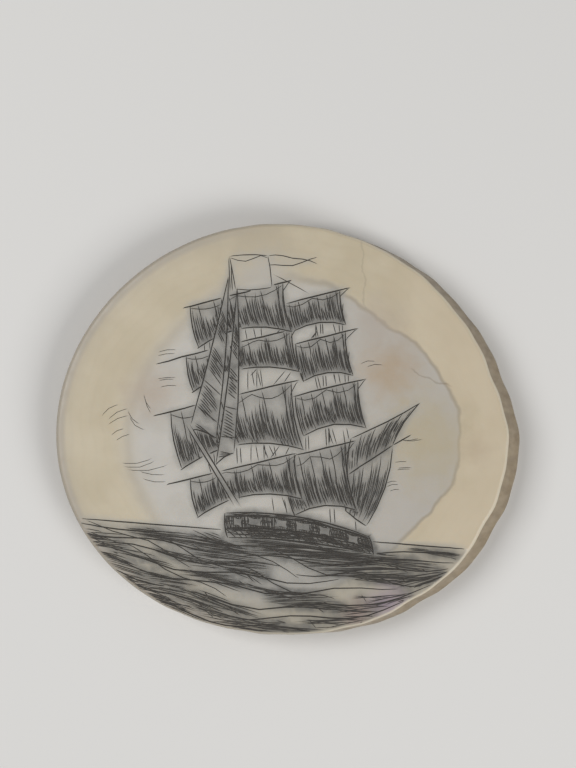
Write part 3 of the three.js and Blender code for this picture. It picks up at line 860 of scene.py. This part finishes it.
on_grid = np.clip((face_points + smoke_half) / smoke_pitch - 0.5, 0, smoke.shape[0] - 2)
cell = on_grid.astype(int)
part = on_grid - cell
hazes = sum(
    smoke[cell[:, 0] + i, cell[:, 1] + j]
    * np.abs(1 - i - part[:, 0]) * np.abs(1 - j - part[:, 1])
    for i in (0, 1) for j in (0, 1)
)


def core_radius(angle):
    """The core's outline: a mean radius, its first four harmonics and small waves."""
    return (core_middle_radius + 1.4 * np.cos(angle) - 1.05 * np.sin(angle)
            + 0.3 * np.cos(2 * angle) + 0.6 * np.cos(3 * angle) + 0.8 * np.cos(4 * angle)
            + 0.12 * np.cos(9 * angle + 2))


away, angle = polar(plan)
into_rim = np.clip((away - face_radius(angle)) / rim_round(angle) + 1, 0, 1)
on_side = np.zeros(len(vertices))
on_side[:face_count] = into_rim[:face_count]
on_side[face_count:face_count + side_count] = 1
layers = {
    "ink": np.pad(ink, (0, len(vertices) - face_count)),
    "haze": np.pad(hazes, (0, len(vertices) - face_count)),
    "core": core_radius(angle) - away,
    "inward": face_radius(angle) - away,
    "side": on_side,
}
for name, values in layers.items():
    tooth_mesh.attributes.new(name, "FLOAT", "POINT").data.foreach_set("value", values)

# The ivory
# A thick cream ring of cementum round a greyer, faintly clear core of dentine, with a thin
# wavering brown line where they meet; the sawn side is browner and streaked along the tooth.
cream_light, cream_dark = (0.59, 0.515, 0.378, 1), (0.535, 0.46, 0.325, 1)
cream_on_the_right = (0.65, 0.545, 0.40, 1)
growth_ring = (0.40, 0.34, 0.23, 1)
core_light, core_dark = (0.56, 0.532, 0.485, 1), (0.50, 0.472, 0.42, 1)
core_on_the_right = (0.475, 0.44, 0.39, 1)
seam_brown = (0.26, 0.215, 0.155, 1)
smoke_thin, smoke_thick = (0.42, 0.405, 0.365, 1), (0.115, 0.112, 0.104, 1)
bark_light, bark_dark = (0.36, 0.28, 0.18, 1), (0.265, 0.2, 0.122, 1)
# painted shade of the rounded rim on the left
painted_rim_shade = (0.385, 0.345, 0.29, 1)
# painted shade and painted highlight of the rim's round, on the left and on the right
painted_edge_shade, painted_edge_highlight = (0.42, 0.38, 0.31, 1), (0.74, 0.67, 0.53, 1)
lamp_black = (0.062, 0.056, 0.049, 1)
stains_and_top_shade = (  # place on the face, reach, strength and colour
    ((13.6, 7.6), 5.4, 0.85, (0.45, 0.345, 0.235, 1)),
    ((12.6, 13.4), 5.0, 0.5, (0.44, 0.37, 0.305, 1)),
    ((18.4, -1.4), 8.6, 0.85, (0.48, 0.41, 0.275, 1)),
    ((24.8, -2.8), 3.2, 0.5, (0.52, 0.42, 0.30, 1)),
    ((-17.6, 4.6), 5.0, 0.75, (0.45, 0.37, 0.29, 1)),
    # painted shade: the top of the ring darker, where the light falls off
    ((-3.0, 25.0), 9.0, 0.85, (0.475, 0.41, 0.30, 1)),
    ((-2.6, 20.2), 5.0, 0.75, (0.50, 0.47, 0.42, 1)),
)
cracks = (  # from, to, strength and colour
    ((9.9, 25.0), (10.6, 15.6), 0.2, (0.20, 0.165, 0.115, 1)),
    ((16.6, 7.6), (21.4, 5.2), 0.35, (0.20, 0.15, 0.10, 1)),
)
stains_over_the_ink = (
    ((13.8, -22.2), 3.8, 0.5, (0.42, 0.32, 0.40, 1)),
    ((9.6, -23.6), 3.0, 0.4, (0.40, 0.28, 0.25, 1)),
)

ivory = bpy.data.materials.new("ivory")
ivory.use_nodes = True
tree = ivory.node_tree
shader = tree.nodes["Principled BSDF"]


def node(kind, inputs=(), output=0, **settings):
    """A shader node of a kind, its inputs given in order as numbers, colours or outputs."""
    made = tree.nodes.new("ShaderNode" + kind)
    for name, value in settings.items():
        setattr(made, name, value)
    for index, value in (inputs.items() if isinstance(inputs, dict) else enumerate(inputs)):
        if isinstance(value, bpy.types.NodeSocket):
            tree.links.new(value, made.inputs[index])
        else:
            made.inputs[index].default_value = value
    return made.outputs[output]


def layer(name):
    """A value that the mesh carries at its points."""
    return node("Attribute", output="Fac", attribute_name=name)


def arithmetic(kind, *inputs):
    """One step of arithmetic on shader values."""
    return node("Math", inputs, operation=kind)


def smooth(value, low, high, bottom=0.0, top=1.0):
    """A smooth step of a value from bottom at low to top at high."""
    inputs = {"Value": value, "From Min": low, "From Max": high, "To Min": bottom, "To Max": top}
    return node("MapRange", inputs, interpolation_type="SMOOTHSTEP")


def noise(place, scale, detail=3.0):
    """Soft noise between 0 and 1, about a half, with so many lumps to the millimetre."""
    return node("TexNoise", {"Vector": place, "Scale": scale, "Detail": detail})


def blend(share, first, second):
    """Two colours mixed by a share."""
    return node("Mix", {"Factor": share, "A": first, "B": second}, "Result", data_type="RGBA")


def blot(centre, reach, strength):
    """A soft patch of colour about a place on the face, with a ragged edge, for stains and for
    painted shade.
    """
    away = node("VectorMath", {0: place, 1: (*centre, thickness)}, "Value", operation="DISTANCE")
    ragged = arithmetic("MULTIPLY_ADD", noise(place, 0.5, 4.0), 0.9 * reach, away)
    return smooth(ragged, 0.35 * reach, 1.55 * reach, strength, 0.0)


def hairline(start, end, strength):
    """A fine old crack between two places on the face, bent a little by noise."""
    way = Vector(end) - Vector(start)
    length, way = way.length, way.normalized()
    offset = node("VectorMath", {0: place, 1: (*start, thickness)}, "Vector", operation="SUBTRACT")
    along = node("VectorMath", {0: offset, 1: (*way, 0)}, "Value", operation="DOT_PRODUCT")
    aside = node("VectorMath", {0: offset, 1: (-way.y, way.x, 0)}, "Value", operation="DOT_PRODUCT")
    bend = arithmetic("MULTIPLY_ADD", noise(place, 0.35), 2.0, -1.0)
    bent = arithmetic("ABSOLUTE", arithmetic("ADD", aside, bend))
    starts = smooth(along, -0.5, 0.5)
    stops = smooth(along, length - 0.5, length + 0.5, 1.0, 0.0)
    ends = arithmetic("MULTIPLY", starts, stops)
    return arithmetic("MULTIPLY", smooth(bent, 0.02, 0.16, strength, 0.0), ends)


in_metres = node("TexCoord", output="Object")
place = node("VectorMath", {0: in_metres, "Scale": 1000.0}, operation="SCALE")
across = node("SeparateXYZ", {0: place}, "X")
broad_noise = noise(place, 0.16, 4.0)

# The seam between core and ring wavers, and is soft on the left and crisp on the right.
soft_to, crisp_from = -8.0, 14.0
waver = arithmetic("MULTIPLY_ADD", noise(place, 0.22), 2.0, -1.05)
waver = arithmetic("MULTIPLY_ADD", noise(place, 1.6), 0.1, waver)
edge_of_core = arithmetic("ADD", layer("core"), waver)
softness = smooth(across, soft_to, crisp_from, 2.4, 0.4)
is_core = smooth(arithmetic("DIVIDE", edge_of_core, softness), -1.0, 1.0)
seam_width = smooth(across, soft_to, crisp_from, 1.2, 0.4)
seam = smooth(arithmetic("ABSOLUTE", edge_of_core), 0.0, seam_width, 1.0, 0.0)
seam = arithmetic("MULTIPLY", seam, smooth(across, soft_to, crisp_from, 0.18, 0.5))

# The ring and the core, each mottled, with the tooth's faint yearly rings in the cream.
cream = blend(smooth(broad_noise, 0.3, 0.7), cream_light, cream_dark)
ring_shift = arithmetic("MULTIPLY", broad_noise, 14.0)
rings = arithmetic("SINE", arithmetic("MULTIPLY_ADD", layer("inward"), 4.0, ring_shift))
cream = blend(smooth(rings, 0.0, 1.0, 0.0, 0.05), cream, growth_ring)
cream = blend(smooth(across, 8.0, 24.0, 0.0, 0.5), cream, cream_on_the_right)
grey = blend(smooth(noise(place, 0.22, 4.0), 0.3, 0.7), core_light, core_dark)
grey = blend(smooth(across, -6.0, 18.0, 0.0, 0.8), grey, core_on_the_right)
colour = blend(is_core, cream, grey)
colour = blend(seam, colour, seam_brown)
# Real stains, and painted shade at the top of the ring.
for centre, reach, strength, blot_colour in stains_and_top_shade:
    colour = blend(blot(centre, reach, strength), colour, blot_colour)
for start, end, strength, crack in cracks:
    colour = blend(hairline(start, end, strength), colour, crack)

# Lamp black left in the polish: a thin smoke near the cuts, thick where they are close.
thin = smooth(layer("haze"), 0.0, 0.35, 0.0, 0.5)
colour = blend(thin, colour, smoke_thin)
thick = smooth(layer("haze"), 0.1, 1.1, 0.0, 0.8)
patchy = smooth(noise(place, 0.9), 0.25, 0.75, 0.75, 1.1)
colour = blend(arithmetic("MULTIPLY", thick, patchy), colour, smoke_thick)
for centre, reach, strength, blot_colour in stains_over_the_ink:
    colour = blend(blot(centre, reach, strength), colour, blot_colour)

# The rim's round has painted shade on the left and a painted highlight on the right, and below it
# the side is bark.
# Painted shade: a darker band in from the left edge, where the rounded rim turns away from the
# light.
rim_shade_share = arithmetic("MAXIMUM", smooth(layer("inward"), 0.8, 1.9, 0.75, 0.0),
                  smooth(layer("inward"), 0.9, 3.6, 0.22, 0.0))
rim_shade_share = arithmetic("MULTIPLY", rim_shade_share, smooth(across, -14.0, 2.0, 1.0, 0.0))
colour = blend(rim_shade_share, colour, painted_rim_shade)
# Painted light on the rim's round: painted shade on the left, a painted highlight on the right.
painted_edge_light = blend(smooth(across, -10.0, 14.0), painted_edge_shade, painted_edge_highlight)
colour = blend(smooth(layer("side"), 0.1, 0.7, 0.0, 0.75), colour, painted_edge_light)
drawn_out = node("VectorMath", {0: place, 1: (1.1, 1.1, 0.12)}, operation="MULTIPLY")
bark = blend(smooth(noise(drawn_out, 1.0, 4.0), 0.3, 0.7), bark_light, bark_dark)
colour = blend(smooth(layer("side"), 0.9, 1.0), colour, bark)

# The ink fills the cuts, worn through here and there, and is duller than the polish.
inked = arithmetic("MULTIPLY", layer("ink"), smooth(noise(place, 3.5), 0.2, 0.6, 0.55, 1.15))
inked = smooth(inked, 0.06, 0.36)
colour = blend(inked, colour, lamp_black)
tree.links.new(colour, shader.inputs["Base Color"])
polish = smooth(noise(place, 0.6), 0.3, 0.7, 0.34, 0.46)
tree.links.new(arithmetic("MULTIPLY_ADD", inked, 0.25, polish), shader.inputs["Roughness"])
shader.inputs["Subsurface Weight"].default_value = 0.12
shader.inputs["Subsurface Radius"].default_value = (1.2, 0.8, 0.5)
shader.inputs["Subsurface Scale"].default_value = 0.001
tooth_mesh.materials.append(ivory)
